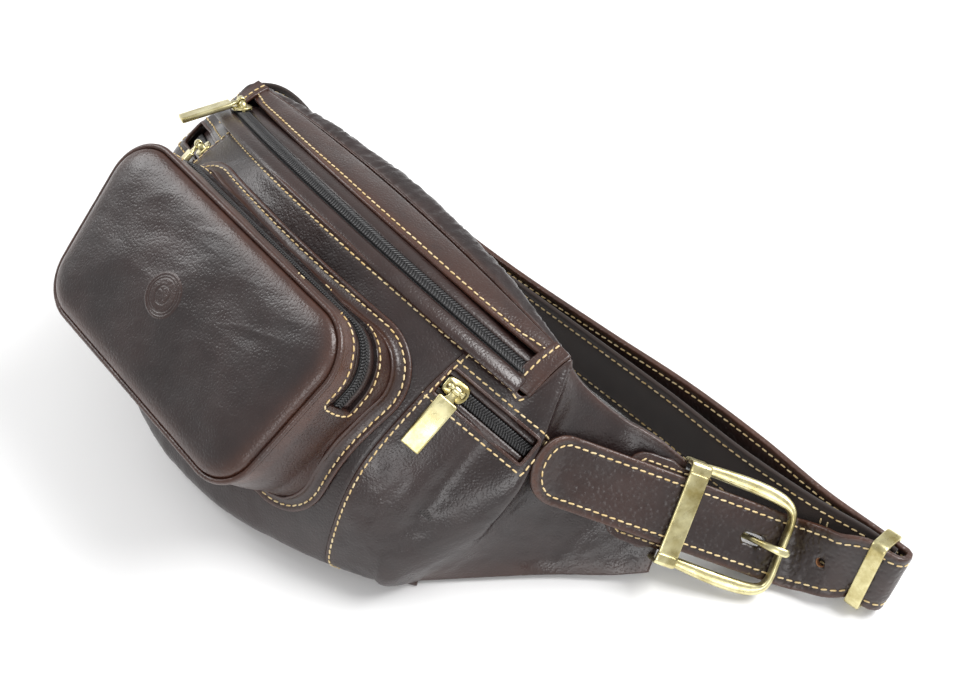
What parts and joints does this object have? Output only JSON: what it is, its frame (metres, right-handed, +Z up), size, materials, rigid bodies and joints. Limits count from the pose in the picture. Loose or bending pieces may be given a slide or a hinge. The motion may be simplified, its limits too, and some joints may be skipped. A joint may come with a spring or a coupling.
{
  "type": "waist pack",
  "caption": "Leather waist pack with a zipped front pocket, zipped main and side compartments, and a buckled belt, lying on its back.",
  "frame": {"origin": "on the table, under the middle of the whole object's box", "axes": "+X to the right in front view, +Y from the pocket towards the belt behind the pack, +Z up from the table"},
  "size_m": [0.4589, 0.2348, 0.134],
  "materials": {
    "leather": "smooth, semi-gloss, burnished at the edges",
    "grained_leather": "pebbled, semi-gloss",
    "suede": "matt lining side",
    "cloth": "matt woven nylon",
    "nylon_teeth": "satin coil",
    "brass": "antique, brushed, darker in recesses"
  },
  "bodies": {
    "pack": {"front_panel": "leather", "side_panel_r": "leather", "side_panel_l": "leather", "back_panel": "leather", "top_band": "leather", "bottom_binding": "leather", "wing_lining_r": "suede", "wing_lining_l": "suede", "zip_end_r": "leather", "zip_end_l": "leather", "main_zip_tape": "cloth", "main_zip_teeth": "nylon_teeth", "pocket_front": "leather", "pocket_gusset": "leather", "pocket_flange": "leather", "pocket_piping": "leather", "pocket_zip_tape": "cloth", "pocket_zip_teeth": "nylon_teeth", "side_zip_tape_r": "cloth", "side_zip_teeth_r": "nylon_teeth", "side_zip_tape_l": "cloth", "side_zip_teeth_l": "nylon_teeth", "side_pouch_r": "cloth", "side_pouch_l": "cloth", "front_lining": "cloth", "back_foam": "cloth", "divider": "cloth", "tab_right": "leather", "tongue_strap": "grained_leather", "back_strap": "suede", "far_keeper": "brass"},
    "main_slider_body": {"main_slider": "brass"},
    "main_pull_body": {"main_pull": "brass"},
    "pocket_slider_body": {"pocket_slider": "brass"},
    "pocket_pull_body": {"pocket_pull": "brass"},
    "side_slider_r_body": {"side_slider_r": "brass"},
    "side_pull_r_body": {"side_pull_r": "brass"},
    "side_slider_l_body": {"side_slider_l": "brass"},
    "side_pull_l_body": {"side_pull_l": "brass"},
    "buckle_body": {"buckle_frame": "brass", "heel_bar": "brass"},
    "prong_body": {"prong": "brass"}
  },
  "joints": [
    {"name": "main_zip_travel", "type": "hinge", "parent": "pack", "child": "main_slider_body", "pos_m": [-0.03405, 0.12481, -0.06914], "axis": [0, 0.8329, 0.5534], "range_deg": [0, 56.8]},
    {"name": "main_pull_swing", "type": "hinge", "parent": "main_slider_body", "child": "main_pull_body", "pos_m": [-0.14251, 0.01726, 0.10024], "axis": [0.8796, -0.2632, 0.3962], "range_deg": [-154, 0]},
    {"name": "pocket_zip_travel", "type": "slide", "parent": "pack", "child": "pocket_slider_body", "axis": [-0.1081, 0.7682, 0.631], "range_m": [0, 0.016]},
    {"name": "pocket_pull_swing", "type": "hinge", "parent": "pocket_slider_body", "child": "pocket_pull_body", "pos_m": [-0.11933, -0.06838, 0.09052], "axis": [-0.1081, 0.7682, 0.631], "range_deg": [0, 107]},
    {"name": "side_zip_travel_r", "type": "slide", "parent": "pack", "child": "side_slider_r_body", "axis": [0.807, 0.3183, -0.4974], "range_m": [0, 0.033]},
    {"name": "side_pull_swing_r", "type": "hinge", "parent": "side_slider_r_body", "child": "side_pull_r_body", "pos_m": [0.06852, -0.01274, 0.09203], "axis": [0.807, 0.3183, -0.4974], "range_deg": [-155, 0]},
    {"name": "side_zip_travel_l", "type": "slide", "parent": "pack", "child": "side_slider_l_body", "axis": [-0.807, 0.3183, -0.4974], "range_m": [0, 0.033]},
    {"name": "side_pull_swing_l", "type": "hinge", "parent": "side_slider_l_body", "child": "side_pull_l_body", "pos_m": [-0.13662, -0.01274, 0.09203], "axis": [-0.807, 0.3183, -0.4974], "range_deg": [0, 88]},
    {"name": "buckle_rock", "type": "hinge", "parent": "pack", "child": "buckle_body", "pos_m": [0.14688, 0.05365, 0.02887], "axis": [-0.2873, 0.6994, 0.6545], "range_deg": [-2, 0]},
    {"name": "prong_rock", "type": "hinge", "parent": "buckle_body", "child": "prong_body", "pos_m": [0.14688, 0.05365, 0.02887], "axis": [-0.2873, 0.6994, 0.6545], "range_deg": [-1, 0]}
  ]
}
